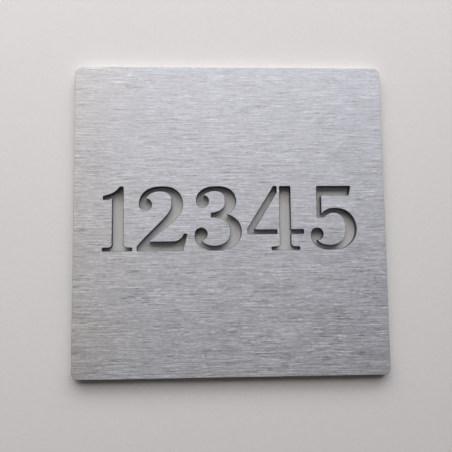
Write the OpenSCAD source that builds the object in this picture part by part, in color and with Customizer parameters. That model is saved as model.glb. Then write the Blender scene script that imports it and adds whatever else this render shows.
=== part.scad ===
/* [Plate] */
// Width of the square plate
plate_w = 100; // [92:1:150]
// Height of the square plate
plate_h = 100; // [40:1:150]
// Thickness of the sheet
plate_t = 2.5; // [1:0.5:6]
// Radius of the plate's four corners
corner_r = 2.2; // [0.5:0.1:10]

/* [Cut figures] */
// Height of the row of figures
figure_h = 20.6; // [19:0.2:22]
// Width of the upright strokes
stem_w = 3.5; // [3:0.1:3.9]
// Width of the thin strokes
hair_w = 1.4; // [1.1:0.1:1.7]
// Width of the metal bridge that holds the eye of the four
bridge_w = 0.95; // [0.6:0.05:1.2]
// Gap between one figure and the next
figure_gap = 1.1; // [0.8:0.1:1.6]
// Radius that the cutter leaves at the figures' corners
cutter_r = 0.3; // [0.1:0.05:0.35]

/* [Hidden] */

// The figures are drawn on a grid that is 20 units high
GRID_H = 20;
unit = figure_h / GRID_H;
stem = stem_w / unit;
hair = hair_w / unit;
bridge = bridge_w / unit;
gap = figure_gap / unit;

// Lowest and highest place of the pen's centre, where a thin stroke touches the row's edge
low = hair / 2;
top = GRID_H - hair / 2;

// Widths of the figures one to five
FIGURE_WIDTHS = [9.4, 16.3, 15.9, 18.2, 15.9];
FIGURES = len(FIGURE_WIDTHS);

// Height of a foot's tips, and the size of the hollow brackets between foot and stem
FOOT_T = 1.0;
BRACKET = 1.2;
// Radius of the balls that end the open strokes, and how far they lie inside the stroke's edge
BALL_R = 1.9;
BALL_INSET = 0.06;

// Straight steps in one curve, and in one softened corner
CURVE_STEPS = 16;
CORNER_STEPS = 4;
// An outline that turns by less than this, in degrees, is a curve there and isn't softened
SMOOTH_TURN = 35;
// How far the cut runs past both faces
OVERCUT = 1;
$fn = 64;

function sum(list, count) = count == 0 ? 0 : list[count - 1] + sum(list, count - 1);

// A vector made 1 long
function heading(v) = v / norm(v);

// The point that lies a share of the way from a to b
function between(a, b, share) = a + (b - a) * share;

// Points of a cubic curve from a to d, without a itself
function curve(a, b, c, d) = [
    for (i = [1 : CURVE_STEPS])
        let (t = i / CURVE_STEPS, s = 1 - t)
        s * s * s * a + 3 * s * s * t * b + 3 * s * t * t * c + t * t * t * d
];

// Points of a hollow bend from a to b, which leaves and arrives in line with the corner c
function bend(a, c, b) = curve(a, between(a, c, 0.55), between(b, c, 0.55), b);

// A pen's track: an anchor, then two handles and an anchor for each curve.
// Each entry holds x, z and the share of the way from the thin to the thick stroke.
function track(knots) = concat(
    [knots[0]],
    [for (k = [0 : 3 : len(knots) - 4]) each curve(knots[k], knots[k + 1], knots[k + 2], knots[k + 3])]
);

// The pen's width where the track's entry gives this share
function pen(share) = between(hair, stem, share);

// Half of the pen's width at point i, as a vector across the track
function half_pen(path, i) =
    let (
        before = path[max(i - 1, 0)],
        after = path[min(i + 1, len(path) - 1)],
        along = heading([after.x - before.x, after.y - before.y])
    )
    [-along.y, along.x] * pen(path[i].z) / 2;

// The left side of a track, in the pen's direction of travel, or with side = -1 its right side
function track_side(path, side) = [
    for (i = [0 : len(path) - 1]) [path[i].x, path[i].y] + side * half_pen(path, i)
];

function reversed(list) = [for (i = [len(list) - 1 : -1 : 0]) list[i]];

// Corner i of an outline as an arc that touches both its sides, or as it is on a curve.
// The arc takes less than half of either side, so in a narrow corner it is smaller than r.
function soft_corner(points, i, r) =
    let (
        n = len(points),
        corner = points[i],
        to_last = points[(i + n - 1) % n] - corner,
        to_next = points[(i + 1) % n] - corner,
        u = heading(to_last),
        v = heading(to_next),
        half_angle = acos(max(-1, min(1, u * v))) / 2,
        reach = min(r / tan(half_angle), 0.45 * min(norm(to_last), norm(to_next))),
        arc_r = reach * tan(half_angle),
        centre = corner + heading(u + v) * arc_r / sin(half_angle),
        start = corner + u * reach - centre,
        end = corner + v * reach - centre
    )
    180 - 2 * half_angle < SMOOTH_TURN
        ? [corner]
        : [for (k = [0 : CORNER_STEPS]) centre + heading(between(start, end, k / CORNER_STEPS)) * arc_r];

// The area inside an outline given in grid units, with its corners softened
module shape(outline) {
    points = unit * outline;
    polygon([for (i = [0 : len(points) - 1]) each soft_corner(points, i, cutter_r)]);
}

// The area that the pen covers. The outline runs up the track's left side, through tail,
// back down its right side and through head, so both can hold what the stroke grows out of.
module stroke(knots, tail = [], head = []) {
    path = track(knots);
    shape(concat(track_side(path, 1), tail, reversed(track_side(path, -1)), head));
}

// The ball at an open end of a stroke, given by that end's knot. Its outer side lies just
// inside the stroke's outer edge, and rise moves it past the end, so the two flow together.
module ball(knot, rise) {
    x = knot.x - pen(knot.z) / 2 + BALL_INSET + BALL_R;
    translate(unit * [x, knot.y + rise]) circle(r = unit * BALL_R);
}

// An upright with a foot that reaches out to both sides. The outline runs up the right side,
// through head and down the left side.
module footed_stem(x, left, right, head) {
    half = stem / 2;
    shape(concat(
        [[x - left, 0], [x + right, 0], [x + right, FOOT_T], [x + half + BRACKET, FOOT_T]],
        bend([x + half + BRACKET, FOOT_T], [x + half, FOOT_T], [x + half, FOOT_T + BRACKET]),
        head,
        [[x - half, FOOT_T + BRACKET]],
        bend([x - half, FOOT_T + BRACKET], [x - half, FOOT_T], [x - half - BRACKET, FOOT_T]),
        [[x - left, FOOT_T]]
    ));
}

module figure_one() {
    x = 5;
    left = x - stem / 2;
    flag_top = [x + 0.6, GRID_H];
    flag_tip = [0.5, 17.1];
    flag_under = [0.5, 16.0];
    flag_root = [left, 16.5];
    footed_stem(x, 4.6, 4.4, concat(
        [[x + stem / 2, GRID_H], flag_top],
        curve(flag_top, [4.6, 18.4], [2.8, 17.4], flag_tip),
        [flag_under],
        curve(flag_under, [1.7, 16.0], [2.5, 16.1], flag_root)
    ));
}

module figure_two() {
    start = [2.0, 14.6, 0.2];
    base_top = 2.8;
    nib = [15.0, 5.2];
    // The tail is the base with its upturned end
    stroke(
        [
            start, [2.0, 17.6, 0.1], [4.4, top, 0], [7.8, top, 0],
            [11.0, top, 0.1], [12.9, 17.6, 0.9], [12.9, 14.6, 1],
            [12.9, 11.0, 0.9], [8.8, 8.6, 0.4], [3.3, base_top + 0.55, 0.1]
        ],
        tail = concat(
            [[11.4, base_top]],
            curve([11.4, base_top], [13.2, base_top], [14.3, 3.6], nib),
            [[15.9, nib.y], [14.6, 0], [0.5, 0], [0.5, 1.5]]
        )
    );
    ball(start, -0.2);
}

module figure_three() {
    start = [2.2, 15.6, 0.1];
    waist = [6.0, 11.0, 0];
    end = [1.7, 4.9, 0.1];
    stroke([
        start, [2.2, 18.0, 0.1], [4.6, top, 0], [7.4, top, 0],
        [10.4, top, 0.1], [12.1, 17.8, 0.9], [12.1, 15.4, 1],
        [12.1, 12.8, 0.8], [9.8, 11.1, 0.1], waist
    ]);
    stroke([
        waist, [11.0, 11.1, 0.1], [13.7, 9.0, 0.9], [13.7, 5.9, 1],
        [13.7, 2.6, 0.9], [11.0, low, 0.1], [7.2, low, 0],
        [4.2, low, 0], [1.7, 1.9, 0.1], end
    ]);
    ball(start, -0.2);
    ball(end, 0.2);
}

module figure_four() {
    x = 12.2;
    left = 0.4;
    bar_low = 5.0;
    bar_high = bar_low + hair;
    end = x - stem / 2 - bridge;
    // The slanting stroke: how far it moves right for each unit up, and its width along the bar
    slant = 0.62;
    slant_w = 1.9;
    heel = 0.4;
    footed_stem(x, 4.4, 4.4, [[x + stem / 2, GRID_H], [x - stem / 2, GRID_H]]);
    // It ends short of the upright with the bar's left part, so that a bridge of metal stays
    shape([
        [left, bar_low], [end, bar_low], [end, bar_high], [left + slant_w, bar_high],
        [end, bar_high + (end - left - slant_w) / slant], [end, GRID_H],
        [left + (GRID_H - bar_high - heel) * slant, GRID_H], [left, bar_high + heel]
    ]);
    // The bar's right part
    shape([[x, bar_low], [17.9, bar_low], [17.9, bar_high], [x, bar_high]]);
}

module figure_five() {
    left = 3.0;
    right = left + hair;
    bar_low = 17.1;
    end = [1.7, 4.7, 0.1];
    // The head is the thin upright with the top bar
    stroke(
        [
            [right + 0.45, 10.8, 0], [5.8, 11.7, 0], [6.9, 12.3, 0], [8.2, 12.3, 0],
            [11.6, 12.3, 0.2], [13.6, 10.0, 0.9], [13.6, 6.5, 1],
            [13.6, 2.9, 0.9], [11.0, low, 0.1], [7.0, low, 0],
            [4.0, low, 0], [1.7, 1.9, 0.1], end
        ],
        head = [[left, 9.9], [left, GRID_H], [13.7, GRID_H], [13.1, bar_low], [right, bar_low]]
    );
    ball(end, 0.2);
}

module figure(index) {
    if (index == 0) figure_one();
    if (index == 1) figure_two();
    if (index == 2) figure_three();
    if (index == 3) figure_four();
    if (index == 4) figure_five();
}

// The figures side by side, centred on the plate
module figure_row() {
    row_w = sum(FIGURE_WIDTHS, FIGURES) + gap * (FIGURES - 1);
    for (index = [0 : FIGURES - 1]) {
        x = sum(FIGURE_WIDTHS, index) + gap * index - row_w / 2;
        translate(unit * [x, -GRID_H / 2]) figure(index);
    }
}

module plate_outline() {
    square([plate_w - 2 * corner_r, plate_h], center = true);
    square([plate_w, plate_h - 2 * corner_r], center = true);
    for (x = [-1, 1], z = [-1, 1])
        translate([x * (plate_w / 2 - corner_r), z * (plate_h / 2 - corner_r)]) circle(r = corner_r);
}

// The plate stands upright, with its back on the wall's plane and its front towards -Y
module sign_plate() {
    color("silver")
    rotate([90, 0, 0])
    difference() {
        linear_extrude(plate_t) plate_outline();
        translate([0, 0, -OVERCUT]) linear_extrude(plate_t + 2 * OVERCUT) figure_row();
    }
}

sign_plate();
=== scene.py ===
"""Looks of a small wall sign: one brushed metal plate with a row of stencil figures cut right
through it.

The plate is rebuilt from the frame's outlines with its edges broken as a deburred plate has them,
and gets a brushed finish. The stage is a pale wall behind it, a pale floor, soft light from above,
and the camera.
"""

import math

import bpy
import numpy as np
from bpy.props import (
    BoolProperty,
    CollectionProperty,
    FloatProperty,
    FloatVectorProperty,
    PointerProperty,
)
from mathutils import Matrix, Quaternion, Vector


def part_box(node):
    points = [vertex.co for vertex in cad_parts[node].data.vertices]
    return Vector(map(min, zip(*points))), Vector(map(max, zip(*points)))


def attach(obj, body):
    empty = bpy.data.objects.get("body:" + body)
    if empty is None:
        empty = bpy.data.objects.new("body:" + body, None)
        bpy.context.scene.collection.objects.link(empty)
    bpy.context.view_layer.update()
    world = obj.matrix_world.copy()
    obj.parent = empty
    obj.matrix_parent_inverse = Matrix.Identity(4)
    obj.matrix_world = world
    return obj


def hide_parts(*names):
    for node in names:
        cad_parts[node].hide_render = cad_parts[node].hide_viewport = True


bl_info = {
    "name": "Brushed stencil sign",
    "version": (1, 0, 0),
    "blender": (4, 5, 0),
    "location": "3D View > Sidebar > Sign",
    "description": "Builds the looks of a brushed metal wall sign and a studio stage around it",
    "category": "Object",
}

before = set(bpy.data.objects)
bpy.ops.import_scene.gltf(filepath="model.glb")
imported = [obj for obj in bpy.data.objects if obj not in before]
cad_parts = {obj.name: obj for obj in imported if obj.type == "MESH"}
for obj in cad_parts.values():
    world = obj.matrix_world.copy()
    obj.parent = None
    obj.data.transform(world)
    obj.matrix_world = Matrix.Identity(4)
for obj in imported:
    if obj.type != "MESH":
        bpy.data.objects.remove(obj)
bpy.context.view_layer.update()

PLATE_NODE = "sign_plate"
PLATE_BODY = "root"
MM = 0.001

# Two corners of the frame's loose triangles that lie closer than this are one corner
WELD = 1e-6
# An outline's edge that is shorter than this is closed up, so that a rounding can't turn it back
SHORT_EDGE = 0.07 * MM
# Passes of the closing up: each doubles the run of short edges that ends on its first corner
CLOSING_PASSES = 3
# Steps in the rounding of one edge
EDGE_STEPS = 4
# A divisor is held above this
TINY = 1e-6
# A mitred corner reaches out at most this many times the offset
MITRE_LIMIT = 1.5
# A rounding shortens the outline's edges by this share at most
EDGE_LOSS = 0.6
# Edges that turn by more than this stay sharp
SHARP_TURN = math.radians(40)
# The outer edge's outline lies within this of the plate's box, and the figures lie further in
RIM = 4 * MM
# Places of the plate's materials
FACE_FINISH, EDGE_FINISH, CUT_FINISH, ROUNDING_FINISH = range(4)

# Each seed moves its noise by this much, in metres
SEED_STEP = Vector((0.137, 0.051, 0.219))
# A quarter of a turn lays the gloss of the strokes along X
STROKE_TURN = 0.25

# In these layers of the finish a size is in millimetres along X, Y and Z, and noise runs about 0.
# How the strokes wander: the sway's size, and how far it moves them along Z
SWAY_SIZE = (30, 30, 12)
SWAY = 0.25 * MM
# The ground's layers of strokes: size, seed, detail and share, and how rough their detail is
STROKES = (
    ((16.0, 4.0, 0.36), 1, 1.0, 0.8),
    ((6.0, 4.0, 0.30), 2, 1.0, 1.0),
    ((1.5, 4.0, 0.29), 4, 1.0, 0.9),
    ((0.5, 4.0, 0.30), 9, 0.0, 0.3),
)
STROKE_RAGGEDNESS = 0.6
# How hard the belt pressed: the size of its changes, and how much they change the strokes
FORCE_SIZE = (7.0, 4.0, 1.6)
FORCE = 2.2
# Sparse marks over the ground: size, seed, detail, the noise at which one starts and at which it is
# full, and how much brighter and rougher it is
MARKS = {
    "bright dash": ((3.0, 4.0, 0.34), 5, 1.0, (0.13, 0.24), 0.36, 0.04),
    "long scratch": ((10.0, 4.0, 0.30), 10, 0.0, (0.16, 0.26), 0.26, 0.0),
    "dull dash": ((4.2, 4.0, 0.40), 6, 1.0, (0.18, 0.32), -0.15, -0.03),
}
# Spots of painted highlight and painted shade that stand for the light on a knocked edge and a
# dent:
# the place (x, z) and the reach along X and Z, in millimetres, and how much brighter each is. They
# lie along the top edge's left end, where it was knocked, and at a small dent near the bottom edge.
PAINTED_DENT_LIGHT_AND_SHADE = (
    ((-43.4, 49.42), (7.5, 0.42), 0.4),
    ((-44.0, 48.55), (2.6, 0.28), 0.4),
    ((-43.0, 48.98), (7.0, 0.28), -0.24),
    ((-9.24, -43.27), (0.7, 0.24), 0.4),
    ((-7.5, -43.5), (0.5, 0.2), 0.24),
    ((-8.43, -43.43), (0.44, 0.40), -0.56),
)
# The face's tone: its mean, the ground's and the clouds' shares, and the shades at 0 and at 1
TONE = 0.48
GROUND_TONE = 0.79
CLOUD_TONE = 0.15
DARKEST, BRIGHTEST = (0.4, 0.4, 0.4), (1.2, 1.2, 1.2)
# How much the ground and the clouds change the face's roughness
GROUND_ROUGHNESS = 0.22
CLOUD_ROUGHNESS = 0.04
CLOUD_SIZE = (16, 16, 9)
# A painted reflection of something warm to the left: at the left the metal's red and blue are this
# many times its own. That fades between these places along X, more unevenly by noise of this size.
REFLECTED_WARM_RED, REFLECTED_WARM_BLUE = 1.04, 0.94
REFLECTED_WARM_SPAN = (-49, -27)
REFLECTED_WARM_SIZE = (24, 24, 14)
# The fine tool lines of the walls: size, depth and its share, the shade of the metal in them, and
# how much they roughen it
TOOL_LINES = (0.25, 3.0, 0.25)
TOOL_LINE_DEPTH = 0.01 * MM
TOOL_LINE_STRENGTH = 0.6
TOOL_LINE_SHADE = 0.85
TOOL_LINE_ROUGHNESS = 0.2
# The paint's mottling and clouds: size and share, the shades of its colour, and its roughness
MOTTLE_SIZE, MOTTLE_TONE = (0.9, 0.9, 0.9), 0.5
ROLLER_SIZE, ROLLER_TONE = (30, 30, 30), 0.15
PAINT_SHADES = (0.93, 1.07)
PAINT_ROUGHNESS = 0.85
# A painted falloff of light, with the wall brighter to the left, runs between these places along X
PAINTED_LIGHT_SPAN = (-90, 90)

# The stage's soft lights: degrees to the right of the plate's normal and above it, metres from the
# plate's centre, width and height in metres, watts, and colour. The last one lights the back, from
# behind the wall.
LIGHTS = {
    "key": (-1.6, 46.4, 0.61, (1.021, 0.589), 4.655, (1.0, 0.985, 0.98)),
    "high": (0.0, 64.0, 0.75, (2.00, 0.300), 3.801, (0.985, 0.985, 0.995)),
    "side": (69.5, 64.5, 2.0, (0.5, 0.5), 1.388, (0.75, 0.90, 1.0)),
    "fill": (-5.0, 5.5, 1.5, (0.90, 0.90), 1.401, (1.0, 0.94, 0.82)),
    "back": (200.0, 35.0, 0.8, (1.0, 0.8), 8.0, (1.0, 0.985, 0.98)),
}
# Large dim panels to both sides of the plate's faces, given as the lights are. Only gloss shows
# them, so that the brushing shines from the sides too.
PANELS = {
    "left panel": (-54.0, -5.0, 2.0, (1.0, 1.8), 3.6, (1.0, 0.99, 0.98)),
    "right panel": (54.0, -5.0, 2.0, (1.0, 1.8), 3.6, (1.0, 0.99, 0.98)),
    "left back panel": (-135.0, -5.0, 2.0, (1.4, 1.8), 6.0, (1.0, 0.99, 0.98)),
    "right back panel": (135.0, -5.0, 2.0, (1.4, 1.8), 6.0, (1.0, 0.99, 0.98)),
}
# Half of the wall's side, and how far the floor reaches to each side
WALL_REACH = 0.19
FLOOR_REACH = 4.0
# The camera sees nothing that is nearer than this
CAMERA_CLIP = 0.01


class SignPlateSettings(bpy.types.PropertyGroup):
    """Sizes and colours of the plate."""

    front_edge: FloatProperty(
        name="Front edge radius",
        description="Rounding along the outer edge of the front face",
        default=0.12 * MM,
        min=0,
        unit="LENGTH",
        precision=5,
    )
    figure_edge: FloatProperty(
        name="Figure edge radius",
        description="Rounding along the figures' edges on the front face",
        default=0.15 * MM,
        min=0,
        unit="LENGTH",
        precision=5,
    )
    back_edge: FloatProperty(
        name="Back edge radius",
        description="Rounding that deburring leaves along the back edges",
        default=0.06 * MM,
        min=0,
        unit="LENGTH",
        precision=5,
    )
    metal: FloatVectorProperty(
        name="Metal",
        description="Colour of the brushed metal",
        default=(0.595, 0.607, 0.660),
        size=3,
        min=0,
        max=1,
        subtype="COLOR",
    )
    edge_metal: FloatVectorProperty(
        name="Edge metal",
        description="Colour of the wall of the plate's outer edge",
        default=(0.80, 0.79, 0.78),
        size=3,
        min=0,
        max=1,
        subtype="COLOR",
    )
    # Painted shade: the rounding's metal is darker than the edge's own, so that the outer edge
    # shows a dark line
    rounding_shaded_metal: FloatVectorProperty(
        name="Rounding metal",
        description="Colour of the rounding along the outer edge of the front face",
        default=(0.50, 0.495, 0.49),
        size=3,
        min=0,
        max=1,
        subtype="COLOR",
    )
    edge_roughness: FloatProperty(
        name="Edge roughness",
        description="Mean roughness of the plate's outer edge",
        default=0.4,
        min=0,
        max=1,
        subtype="FACTOR",
    )
    cut_metal: FloatVectorProperty(
        name="Cut metal",
        description="Colour of the walls that the cutter leaves in the figures",
        default=(0.13, 0.16, 0.19),
        size=3,
        min=0,
        max=1,
        subtype="COLOR",
    )
    cut_roughness: FloatProperty(
        name="Cut roughness",
        description="Mean roughness of the walls that the cutter leaves in the figures",
        default=0.5,
        min=0,
        max=1,
        subtype="FACTOR",
    )
    roughness: FloatProperty(
        name="Roughness",
        description="Mean roughness of the brushed faces",
        default=0.497,
        min=0,
        max=1,
        subtype="FACTOR",
    )
    anisotropy: FloatProperty(
        name="Anisotropy",
        description="How much more the brushing spreads light across the strokes than along them",
        default=0.708,
        min=0,
        max=1,
        subtype="FACTOR",
    )
    stroke_depth: FloatProperty(
        name="Stroke depth",
        description="Depth of the brushing strokes",
        default=0.021 * MM,
        min=0,
        unit="LENGTH",
        precision=6,
    )


class SignStageSettings(bpy.types.PropertyGroup):
    """Sizes, colours and lights of the stage."""

    wall: FloatVectorProperty(
        name="Wall",
        description="Colour of the wall's paint",
        default=(0.783, 0.76, 0.762),
        size=3,
        min=0,
        max=1,
        subtype="COLOR",
    )
    # Painted light: the wall is made paler at the sign's left, as a falloff of light across it
    wall_painted_light: FloatProperty(
        name="Wall fade",
        description="How much paler the wall's paint is at the sign's left than at its right",
        default=0.55,
        min=0,
        max=1,
        subtype="FACTOR",
    )
    wall_gap: FloatProperty(
        name="Wall gap",
        description="Room that the adhesive keeps between the wall and the plate",
        default=0.55 * MM,
        min=0,
        unit="LENGTH",
        precision=5,
    )
    floor_drop: FloatProperty(
        name="Floor drop",
        description="How far the floor lies below the plate's centre",
        default=1.2,
        min=0.1,
        unit="LENGTH",
    )
    floor_glow: FloatProperty(
        name="Floor glow",
        description="How brightly the floor shows where no light falls on it",
        default=0.5,
        min=0,
        max=1,
        subtype="FACTOR",
    )
    room_light: FloatVectorProperty(
        name="Room light",
        description="Light that comes from the rest of the room",
        default=(0.0, 0.0, 0.0),
        size=3,
        min=0,
        subtype="COLOR",
    )
    backdrop: FloatVectorProperty(
        name="Backdrop",
        description="Colour that the camera sees beyond the stage",
        default=(0.80, 0.79, 0.78),
        size=3,
        min=0,
        max=1,
        subtype="COLOR",
    )
    camera_position: FloatVectorProperty(
        name="Camera position",
        description="Where the camera stands",
        default=(-0.0106, -0.1932, -0.0225),
        size=3,
        unit="LENGTH",
        precision=4,
    )
    camera_aim: FloatVectorProperty(
        name="Camera aim",
        description="The point that the camera looks at",
        default=(-0.0016, -0.0025, -0.0025),
        size=3,
        unit="LENGTH",
        precision=4,
    )
    camera_roll: FloatProperty(
        name="Camera roll",
        description="How far the camera leans to the right",
        default=math.radians(0.64),
        subtype="ANGLE",
    )
    camera_lens: FloatProperty(
        name="Camera lens",
        description="Focal length in millimetres on a 36 mm sensor",
        default=47.79,
        min=1,
        unit="CAMERA",
    )


class SignLightSettings(bpy.types.PropertyGroup):
    """One of the stage's soft lights."""

    azimuth: FloatProperty(
        name="Azimuth",
        description="How far the light stands to the right of the plate's normal",
        subtype="ANGLE",
    )
    elevation: FloatProperty(
        name="Elevation",
        description="How far the light stands above the plate's normal",
        subtype="ANGLE",
    )
    distance: FloatProperty(
        name="Distance",
        description="Distance from the plate's centre to the light",
        default=1,
        min=0.1,
        unit="LENGTH",
    )
    size: FloatVectorProperty(
        name="Size",
        description="Width and height of the light",
        default=(1, 1),
        size=2,
        min=0.01,
        unit="LENGTH",
    )
    power: FloatProperty(
        name="Power",
        description="Power of the light",
        default=1,
        min=0,
        unit="POWER",
    )
    colour: FloatVectorProperty(
        name="Colour",
        description="Colour of the light",
        default=(1, 1, 1),
        size=3,
        min=0,
        max=1,
        subtype="COLOR",
    )
    only_gloss: BoolProperty(
        name="Only in gloss",
        description="The light shows in glossy reflections and doesn't light matt surfaces",
    )


class Graph:
    """A shader's nodes. node() adds any node, and wires between them do arithmetic."""

    def __init__(self, tree):
        self.tree = tree
        tree.nodes.clear()

    def node(self, kind, settings=None, **sockets):
        """Adds a node, sets its settings first and then its sockets, to values or wires. In a
        socket's name an underscore stands for a space, and in0, in1 and so on stand for its number.
        """
        made = self.tree.nodes.new("ShaderNode" + kind)
        for name, value in (settings or {}).items():
            setattr(made, name, value)
        for name, value in sockets.items():
            number = name.removeprefix("in")
            key = int(number) if number.isdigit() else name.replace("_", " ")
            self.join(value, made.inputs[key])
        return made

    def join(self, value, socket):
        """Links a wire to a socket, or sets the socket to a value."""
        if isinstance(value, Wire):
            self.tree.links.new(value.socket, socket)
        elif hasattr(socket.default_value, "__len__") and len(socket.default_value) == 4:
            socket.default_value = (*value[:3], 1)
        else:
            socket.default_value = value

    def wire(self, kind, output=0, settings=None, **sockets):
        """Adds a node and returns one of its outputs as a wire."""
        return Wire(self, self.node(kind, settings, **sockets).outputs[output])

    def vector(self, operation, *values):
        """Adds a Vector Math node for wires or triples."""
        made = self.node("VectorMath", {"operation": operation})
        for socket, value in zip(made.inputs, values):
            self.join(value, socket)
        return Wire(self, made.outputs[0])

    def noise(self, place, size, seed=0, **sockets):
        """Noise about 0 whose grain has this size in millimetres along X, Y and Z."""
        moved = self.vector("ADD", place, seed * SEED_STEP)
        scaled = self.vector("MULTIPLY", moved, [1 / (side * MM) for side in size])
        return self.wire("TexNoise", 0, Vector=scaled, Scale=1.0, **sockets) - 0.5

    def spot(self, place, centre, reach):
        """1 at a point (x, z) of the faces, falling to 0 at this reach from it along X and Z, in
        millimetres."""
        x, z = centre
        moved = self.vector("SUBTRACT", place, (x * MM, 0, z * MM))
        scaled = self.vector("MULTIPLY", moved, (1 / (reach[0] * MM), 0, 1 / (reach[1] * MM)))
        distance = self.wire("VectorMath", 1, {"operation": "LENGTH"}, in0=scaled)
        return 1 - distance.step(0, 1)

    def across(self, place, start, end):
        """Runs evenly from 0 to 1 as X goes from start to end, in millimetres."""
        parts = self.node("SeparateXYZ", Vector=place)
        return (Wire(self, parts.outputs[0]) - start * MM) * (1 / ((end - start) * MM))

    def blend(self, share, low, high):
        """The colour that lies a share of the way from low to high."""
        return self.wire("Mix", 2, {"data_type": "RGBA"}, in0=share, in6=low, in7=high)


class Wire:
    """A node's output on its way through a shader: arithmetic on a number adds Math nodes."""

    def __init__(self, graph, socket):
        self.graph = graph
        self.socket = socket

    def math(self, operation, *values):
        """Adds a Math node for wires or numbers."""
        made = self.graph.node("Math", {"operation": operation})
        for socket, value in zip(made.inputs, values):
            self.graph.join(value, socket)
        return Wire(self.graph, made.outputs[0])

    def __add__(self, other):
        return self.math("ADD", self, other)

    __radd__ = __add__

    def __mul__(self, other):
        return self.math("MULTIPLY", self, other)

    __rmul__ = __mul__

    def __sub__(self, other):
        return self.math("SUBTRACT", self, other)

    def __rsub__(self, other):
        return self.math("SUBTRACT", other, self)

    def clamp(self):
        """Held between 0 and 1."""
        return self.graph.wire("Clamp", 0, Value=self)

    def step(self, low, high):
        """Runs smoothly from 0 at low to 1 at high."""
        settings = {"interpolation_type": "SMOOTHSTEP"}
        return self.graph.wire("MapRange", 0, settings, Value=self, From_Min=low, From_Max=high)


def face_edges(triangles, count):
    """The edges that bound a face: those that no other triangle runs along the other way."""
    edges = np.concatenate([triangles[:, [0, 1]], triangles[:, [1, 2]], triangles[:, [2, 0]]])
    there = edges[:, 0] * count + edges[:, 1]
    back = edges[:, 1] * count + edges[:, 0]
    return edges[~np.isin(there, back)]


def join_corners(triangles, joined):
    """The triangles with each corner changed for the one it joins, without those that close up."""
    triangles = joined[triangles]
    return triangles[np.all(triangles != np.roll(triangles, 1, axis=1), axis=1)]


def plate_outline():
    """Corners of the plate's front face, as (x, z), its triangles, and the edges of its outlines.

    The frame's triangles are loose, so equal corners are welded first, and then those at the ends
    of very short outline edges. Seen from the front, an outline has the metal on its left.
    """
    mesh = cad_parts[PLATE_NODE].data
    mesh.calc_loop_triangles()
    points = np.empty(len(mesh.vertices) * 3)
    mesh.vertices.foreach_get("co", points)
    points = points.reshape(-1, 3)
    triangles = np.empty(len(mesh.loop_triangles) * 3, np.int64)
    mesh.loop_triangles.foreach_get("vertices", triangles)
    triangles = triangles.reshape(-1, 3)

    front = points[:, 1].min()
    triangles = triangles[np.all(np.abs(points[triangles, 1] - front) < WELD, axis=1)]
    used, joined = np.unique(np.round(points / WELD).astype(np.int64), axis=0, return_inverse=True)
    triangles = join_corners(triangles, joined.ravel())
    corners = used[:, [0, 2]] * WELD

    edges = face_edges(triangles, len(corners))
    length = np.linalg.norm(corners[edges[:, 1]] - corners[edges[:, 0]], axis=1)
    short = edges[length < SHORT_EDGE]
    joined = np.arange(len(corners))
    joined[short[:, 1]] = short[:, 0]
    for _ in range(CLOSING_PASSES):
        joined = joined[joined]
    triangles = join_corners(triangles, joined)

    kept, triangles = np.unique(triangles, return_inverse=True)
    triangles = triangles.reshape(-1, 3)
    return corners[kept], triangles, face_edges(triangles, len(kept))


def edge_sides(corners, edges):
    """Each outline edge's inward normal, and for each corner those of the edges that leave and
    reach it."""
    along = corners[edges[:, 1]] - corners[edges[:, 0]]
    inward = np.stack([-along[:, 1], along[:, 0]], axis=1)
    inward /= np.linalg.norm(inward, axis=1, keepdims=True)
    leaving = np.zeros_like(corners)
    reaching = np.zeros_like(corners)
    leaving[edges[:, 0]] = inward
    reaching[edges[:, 1]] = inward
    return inward, leaving, reaching


def mitres(leaving, reaching):
    """Each corner's step into the metal for an offset of 1.

    It is the sum of the two edges' inward normals, over 1 plus their product, so that both edges
    move in by the same distance.
    """
    share = 1 + np.sum(leaving * reaching, axis=1, keepdims=True)
    step = (leaving + reaching) / np.maximum(share, TINY)
    length = np.linalg.norm(step, axis=1, keepdims=True)
    return step * np.minimum(1, MITRE_LIMIT / np.maximum(length, TINY))


def rounding_room(corners, edges, leaving, reaching):
    """The largest offset into the metal at each corner that doesn't turn its edges round.

    Where the outline turns by an angle towards the metal, an offset of 1 shortens both edges there
    by the tangent of half the angle. An edge may lose this share of its length at most.
    """
    cross = reaching[:, 0] * leaving[:, 1] - reaching[:, 1] * leaving[:, 0]
    loss = cross / np.maximum(1 + np.sum(leaving * reaching, axis=1), TINY)
    length = np.linalg.norm(corners[edges[:, 1]] - corners[edges[:, 0]], axis=1)
    room = EDGE_LOSS * length / np.maximum(loss[edges[:, 0]] + loss[edges[:, 1]], TINY)
    after, before = np.empty(len(corners)), np.empty(len(corners))
    after[edges[:, 0]] = room
    before[edges[:, 1]] = room
    return np.minimum(after, before)


def edge_profile():
    """The wall's section from the front face to the back, for radius 1 and a wall of depth 0.

    Each end is a quarter circle. At angle a from the wall's normal, the offset into the metal is
    1 - cos a, the distance from the face is 1 - sin a, and the surface leans towards that face by
    sin a. The rows are the offset, the distance from the face and the lean towards the back, first
    for the front rounding.
    """
    angle = np.linspace(math.pi / 2, 0, EDGE_STEPS + 1)
    front = np.stack([1 - np.cos(angle), 1 - np.sin(angle), -np.sin(angle)])
    back = np.stack([front[0], front[1], -front[2]])[:, ::-1]
    return front, back


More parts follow.
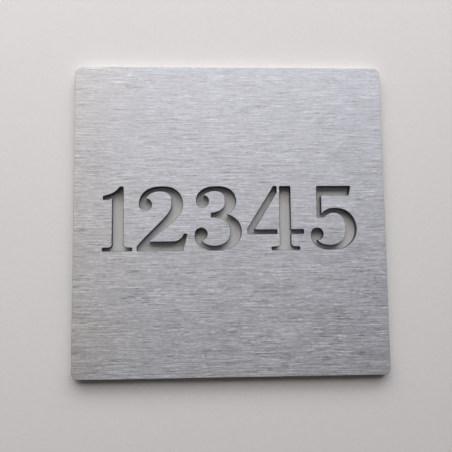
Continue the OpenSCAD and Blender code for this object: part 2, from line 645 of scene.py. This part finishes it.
def wall_normals(edges, sides, leans):
    """The four normals of each quad of the walls.

    At a corner that hardly turns, the level part is the mean of both edges' outward normals, and at
    a sharp one it is the edge's own. The cosine of the lean scales it, and the lean itself is the
    part along Y.
    """
    inward, leaving, reaching = sides
    mean = leaving + reaching
    mean /= np.maximum(np.linalg.norm(mean, axis=1, keepdims=True), TINY)
    soft = np.sum(leaving * reaching, axis=1) > math.cos(SHARP_TURN)
    level = [-np.where(soft[edges[:, end], None], mean[edges[:, end]], inward) for end in (0, 1)]
    level = np.stack([level[0], level[0], level[1], level[1]], axis=1)
    lean = np.stack([leans[:-1], leans[1:], leans[1:], leans[:-1]], axis=1)[:, None]
    cosine = np.sqrt(1 - lean**2)
    normals = np.empty((len(leans) - 1, len(edges), 4, 3))
    normals[..., [0, 2]] = level[None] * cosine[..., None]
    normals[..., 1] = lean
    return normals.reshape(-1, 3)


def plate_mesh(name, rim_radius, figure_radius, back_radius):
    """The plate as one closed surface: the wall's section along every outline, and two faces.

    Corner c of ring k lies at the outline's corner plus its mitre times the section's offset k
    times the radius there, and as deep as the section says. The faces join the first and the last
    ring, with the frame's own triangles.
    """
    corners, triangles, edges = plate_outline()
    sides = edge_sides(corners, edges)
    step = mitres(*sides[1:])
    low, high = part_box(PLATE_NODE)
    centre = np.array([low.x + high.x, low.z + high.z]) / 2
    half = np.array([high.x - low.x, high.z - low.z]) / 2
    in_figure = np.all(np.abs(corners - centre) < half - RIM, axis=1)

    front, back = edge_profile()
    room = rounding_room(corners, edges, *sides[1:])
    front_radius = np.minimum(np.where(in_figure, figure_radius, rim_radius), room)
    back_radius = np.minimum(back_radius, room)
    offsets = np.concatenate([np.outer(front[0], front_radius), np.outer(back[0], back_radius)])
    places = np.concatenate([
        low.y + np.outer(front[1], front_radius),
        high.y - np.outer(back[1], back_radius),
    ])
    leans = np.concatenate([front[2], back[2]])
    rings, count = offsets.shape

    points = np.empty((rings, count, 3))
    points[:, :, [0, 2]] = corners[None] + step[None] * offsets[:, :, None]
    points[:, :, 1] = places

    ring = np.arange(rings - 1)[:, None] * count
    start, end = edges[:, 0][None], edges[:, 1][None]
    walls = np.stack([start + ring, start + ring + count, end + ring + count, end + ring], axis=2)
    back_face = triangles[:, ::-1] + (rings - 1) * count

    loops = np.concatenate([triangles.ravel(), back_face.ravel(), walls.ravel()])
    sizes = np.repeat([3, 4], [2 * len(triangles), walls.shape[0] * walls.shape[1]])
    starts = np.concatenate([[0], np.cumsum(sizes)[:-1]])
    mesh = bpy.data.meshes.new(name)
    mesh.vertices.add(rings * count)
    mesh.vertices.foreach_set("co", points.ravel())
    mesh.loops.add(len(loops))
    mesh.loops.foreach_set("vertex_index", loops)
    mesh.polygons.add(len(sizes))
    mesh.polygons.foreach_set("loop_start", starts)
    mesh.polygons.foreach_set("loop_total", sizes)
    in_rounding = np.arange(rings - 1) < EDGE_STEPS
    outer_finish = np.where(in_rounding, ROUNDING_FINISH, EDGE_FINISH)[:, None]
    wall_finish = np.where(in_figure[edges[:, 0]][None], CUT_FINISH, outer_finish)
    face_finish = np.full(2 * len(triangles), FACE_FINISH)
    material = np.concatenate([face_finish, wall_finish.ravel()]).astype(np.int32)
    mesh.polygons.foreach_set("material_index", material)
    mesh.update(calc_edges=True)

    flat = np.repeat([[0, -1, 0], [0, 1, 0]], triangles.size, axis=0)
    mesh.normals_split_custom_set(np.concatenate([flat, wall_normals(edges, sides, leans)]))
    return mesh


def wandering(graph, place):
    """The place, with its Z moved up and down a little, so that strokes along X wander."""
    sway = graph.noise(place, SWAY_SIZE, seed=3, Detail=1.0) * SWAY
    return graph.vector("ADD", place, graph.wire("CombineXYZ", 0, Z=sway))


def brushed_metal(settings):
    """The finish of the plate's faces: strokes of a brushing belt, drawn out along X.

    The ground is the sum of long and short strokes, each times its share, all times the belt's
    force. Sparse dashes and scratches lie over it, where another layer passes a threshold. The
    ground leans the surface, and together with the marks it changes the roughness and the tone.
    Painted highlights and painted shade of a knocked edge and a dent lie over them all.
    """
    material = bpy.data.materials.new("brushed_metal")
    material.use_nodes = True
    graph = Graph(material.node_tree)
    place = graph.wire("TexCoord", "Object")
    along = wandering(graph, place)

    strokes = sum(
        graph.noise(along, size, seed, Detail=detail, Roughness=STROKE_RAGGEDNESS) * share
        for size, seed, detail, share in STROKES
    )
    ground = strokes * (graph.noise(along, FORCE_SIZE, seed=11, Detail=2.0) * FORCE + 1.0)
    clouds = graph.noise(place, CLOUD_SIZE, seed=7, Detail=2.0)
    tone = ground * GROUND_TONE + clouds * CLOUD_TONE + TONE
    roughness = settings.roughness + ground * GROUND_ROUGHNESS + clouds * CLOUD_ROUGHNESS
    for size, seed, detail, (start, full), brighter, rougher in MARKS.values():
        mark = graph.noise(along, size, seed, Detail=detail).step(start, full)
        tone += mark * brighter
        roughness += mark * rougher
    # Painted highlights and painted shade where the top edge was knocked and near the bottom dent
    for centre, reach, brighter in PAINTED_DENT_LIGHT_AND_SHADE:
        tone += graph.spot(along, centre, reach) * brighter

    # A painted reflection of something warm, tinting the metal towards the plate's left
    cool = graph.across(place, *REFLECTED_WARM_SPAN) + graph.noise(place, REFLECTED_WARM_SIZE, seed=8, Detail=2.0)
    metal = Vector(settings.metal)
    warm = Vector((metal.x * REFLECTED_WARM_RED, metal.y, metal.z * REFLECTED_WARM_BLUE))
    colour = graph.wire(
        "Mix",
        2,
        {"data_type": "RGBA", "blend_type": "MULTIPLY"},
        in0=1.0,
        in6=graph.blend(cool.clamp(), warm, metal),
        in7=graph.blend(tone.clamp(), DARKEST, BRIGHTEST),
    )
    shader = graph.node(
        "BsdfPrincipled",
        Base_Color=colour,
        Metallic=1.0,
        Roughness=roughness,
        Anisotropic=settings.anisotropy,
        Anisotropic_Rotation=STROKE_TURN,
        Normal=graph.wire("Bump", 0, Strength=1.0, Distance=settings.stroke_depth, Height=ground),
    )
    graph.node("OutputMaterial", Surface=Wire(graph, shader.outputs[0]))
    return material


def wall_metal(name, metal, roughness):
    """The finish of the walls: fine tool lines across the thickness."""
    material = bpy.data.materials.new(name)
    material.use_nodes = True
    graph = Graph(material.node_tree)
    place = graph.wire("TexCoord", "Object")
    lines = graph.noise(place, TOOL_LINES, Detail=2.0)

    metal = Vector(metal)
    shader = graph.node(
        "BsdfPrincipled",
        Base_Color=graph.blend(lines + 0.5, metal * TOOL_LINE_SHADE, metal),
        Metallic=1.0,
        Roughness=lines * TOOL_LINE_ROUGHNESS + roughness,
        Normal=graph.wire(
            "Bump", 0, Strength=TOOL_LINE_STRENGTH, Distance=TOOL_LINE_DEPTH, Height=lines
        ),
    )
    graph.node("OutputMaterial", Surface=Wire(graph, shader.outputs[0]))
    return material


def paint(name, colour, fade=0.0, glow=0.0, one_sided=False):
    """Matt paint with the fine mottling and the faint clouds of a roller.

    With a fade it is painted paler to the left, a painted falloff of light, and a glow brightens it
    where no light falls. One-sided, it can't be seen from behind, and what is seen through it from
    behind isn't shaded by it.
    """
    material = bpy.data.materials.new(name)
    material.use_nodes = True
    graph = Graph(material.node_tree)
    place = graph.wire("TexCoord", "Object")
    mottle = graph.noise(place, MOTTLE_SIZE, Detail=1.0)
    clouds = graph.noise(place, ROLLER_SIZE, seed=1, Detail=2.0)
    # Painted light: paler to the left, fading across the wall
    painted_light = (0.5 - graph.across(place, *PAINTED_LIGHT_SPAN)) * fade
    tone = (mottle * MOTTLE_TONE + clouds * ROLLER_TONE + painted_light + 0.5).clamp()
    dark, light = (Vector(colour) * shade for shade in PAINT_SHADES)
    shader = graph.wire(
        "BsdfPrincipled",
        0,
        Base_Color=graph.blend(tone, dark, light),
        Roughness=PAINT_ROUGHNESS,
        Emission_Color=colour,
        Emission_Strength=glow,
    )
    if one_sided:
        behind = graph.wire("NewGeometry", "Backfacing")
        passed = graph.wire("LightPath", "Transparent Depth")
        hidden = (behind + passed).clamp()
        clear = graph.wire("BsdfTransparent")
        shader = graph.wire("MixShader", 0, in0=hidden, in1=shader, in2=clear)
    graph.node("OutputMaterial", Surface=shader)
    return material


def flat_sheet(name, corners, material):
    """A flat sheet of the stage through four corners, anticlockwise as seen from its front."""
    mesh = bpy.data.meshes.new(name)
    mesh.from_pydata(corners, [], [(0, 1, 2, 3)])
    mesh.materials.append(material)
    sheet = bpy.data.objects.new(name, mesh)
    bpy.context.scene.collection.objects.link(sheet)
    return sheet


def soft_light(settings):
    """A rectangular light that faces the plate's centre."""
    data = bpy.data.lights.new(settings.name, "AREA")
    data.shape = "RECTANGLE"
    data.size, data.size_y = settings.size
    data.energy = settings.power
    data.color = settings.colour
    light = bpy.data.objects.new(settings.name, data)
    level = math.cos(settings.elevation)
    towards = Vector((
        math.sin(settings.azimuth) * level,
        -math.cos(settings.azimuth) * level,
        math.sin(settings.elevation),
    ))
    light.location = towards * settings.distance
    light.rotation_mode = "QUATERNION"
    light.rotation_quaternion = towards.to_track_quat("Z", "Y")
    light.visible_diffuse = not settings.only_gloss
    bpy.context.scene.collection.objects.link(light)
    return light


def room(light, backdrop):
    """The world: the room's light on the object, and a plain backdrop for the camera."""
    world = bpy.data.worlds.new("room")
    world.use_nodes = True
    graph = Graph(world.node_tree)
    lit = graph.wire("Background", 0, Color=light, Strength=1.0)
    seen = graph.wire("Background", 0, Color=backdrop, Strength=1.0)
    camera = graph.wire("LightPath", "Is Camera Ray")
    graph.node("OutputWorld", Surface=graph.wire("MixShader", 0, in0=camera, in1=lit, in2=seen))
    bpy.context.scene.world = world


class SIGN_OT_build_plate(bpy.types.Operator):
    """Build the brushed plate with its broken edges, in place of the plain solid"""

    bl_idname = "sign.build_plate"
    bl_label = "Build plate"

    def execute(self, context):
        settings = context.scene.sign_plate
        radii = settings.front_edge, settings.figure_edge, settings.back_edge
        mesh = plate_mesh("brushed_sign_plate", *radii)
        edge, cut = settings.edge_roughness, settings.cut_roughness
        finishes = {
            FACE_FINISH: brushed_metal(settings),
            EDGE_FINISH: wall_metal("edge_metal", settings.edge_metal, edge),
            CUT_FINISH: wall_metal("cut_metal", settings.cut_metal, cut),
            # The rounding's darker metal is painted shade along the outer edge
            ROUNDING_FINISH: wall_metal("rounding_shaded_metal", settings.rounding_shaded_metal, edge),
        }
        for finish in sorted(finishes):
            mesh.materials.append(finishes[finish])
        plate = bpy.data.objects.new("brushed_sign_plate", mesh)
        context.scene.collection.objects.link(plate)
        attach(plate, PLATE_BODY)
        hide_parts(PLATE_NODE)
        return {"FINISHED"}


class SIGN_OT_reset_lights(bpy.types.Operator):
    """Put the settings of the stage's lights back to their first values"""

    bl_idname = "sign.reset_lights"
    bl_label = "Reset lights"

    def execute(self, context):
        lights = context.scene.sign_lights
        lights.clear()
        for name, (azimuth, elevation, distance, size, power, colour) in (LIGHTS | PANELS).items():
            light = lights.add()
            light.name = name
            light.azimuth = math.radians(azimuth)
            light.elevation = math.radians(elevation)
            light.distance = distance
            light.size = size
            light.power = power
            light.colour = colour
            light.only_gloss = name in PANELS
        return {"FINISHED"}


class SIGN_OT_build_stage(bpy.types.Operator):
    """Build the wall, the floor, the lights and the camera"""

    bl_idname = "sign.build_stage"
    bl_label = "Build stage"

    def execute(self, context):
        scene = context.scene
        settings = scene.sign_stage
        if not scene.sign_lights:
            raise RuntimeError("The stage has no lights: reset the lights first")
        scene.view_settings.view_transform = "Standard"
        near, gap = WALL_REACH, settings.wall_gap
        flat_sheet(
            "wall",
            [(-near, gap, -near), (near, gap, -near), (near, gap, near), (-near, gap, near)],
            paint("wall_paint", settings.wall, fade=settings.wall_painted_light, one_sided=True),
        )
        far, drop = FLOOR_REACH, -settings.floor_drop
        floor = flat_sheet(
            "floor",
            [(-far, -far, drop), (far, -far, drop), (far, far, drop), (-far, far, drop)],
            paint("floor_paint", settings.wall, glow=settings.floor_glow),
        )
        floor.visible_diffuse = False
        floor.visible_glossy = False

        for light in scene.sign_lights:
            soft_light(light)
        room(settings.room_light, settings.backdrop)

        data = bpy.data.cameras.new("camera")
        data.lens = settings.camera_lens
        data.clip_start = CAMERA_CLIP
        camera = bpy.data.objects.new("camera", data)
        position = Vector(settings.camera_position)
        camera.location = position
        camera.rotation_mode = "QUATERNION"
        facing = (Vector(settings.camera_aim) - position).to_track_quat("-Z", "Y")
        camera.rotation_quaternion = facing @ Quaternion((0, 0, 1), -settings.camera_roll)
        scene.collection.objects.link(camera)
        scene.camera = camera
        return {"FINISHED"}


class SIGN_PT_panel(bpy.types.Panel):
    """Lists the sign's settings and the steps that build it."""

    bl_idname = "SIGN_PT_panel"
    bl_label = "Brushed stencil sign"
    bl_space_type = "VIEW_3D"
    bl_region_type = "UI"
    bl_category = "Sign"

    def draw(self, context):
        scene = context.scene
        self.draw_box(scene.sign_plate, SIGN_OT_build_plate)
        self.draw_box(scene.sign_stage, SIGN_OT_build_stage)
        self.layout.operator(SIGN_OT_reset_lights.bl_idname)
        for light in scene.sign_lights:
            self.draw_box(light)

    def draw_box(self, settings, step=None):
        """One group of settings, with the button of its step where it has one."""
        box = self.layout.box()
        for name in settings.__annotations__:
            box.prop(settings, name)
        if step:
            box.operator(step.bl_idname)


CLASSES = (
    SignPlateSettings,
    SignStageSettings,
    SignLightSettings,
    SIGN_OT_build_plate,
    SIGN_OT_reset_lights,
    SIGN_OT_build_stage,
    SIGN_PT_panel,
)


def register():
    for kind in CLASSES:
        bpy.utils.register_class(kind)
    bpy.types.Scene.sign_plate = PointerProperty(type=SignPlateSettings)
    bpy.types.Scene.sign_stage = PointerProperty(type=SignStageSettings)
    bpy.types.Scene.sign_lights = CollectionProperty(type=SignLightSettings)


def unregister():
    del bpy.types.Scene.sign_lights
    del bpy.types.Scene.sign_stage
    del bpy.types.Scene.sign_plate
    for kind in reversed(CLASSES):
        bpy.utils.unregister_class(kind)


def main():
    """Builds everything in order."""
    register()
    bpy.ops.sign.build_plate()
    bpy.ops.sign.reset_lights()
    bpy.ops.sign.build_stage()


if __name__ == "__main__":
    main()
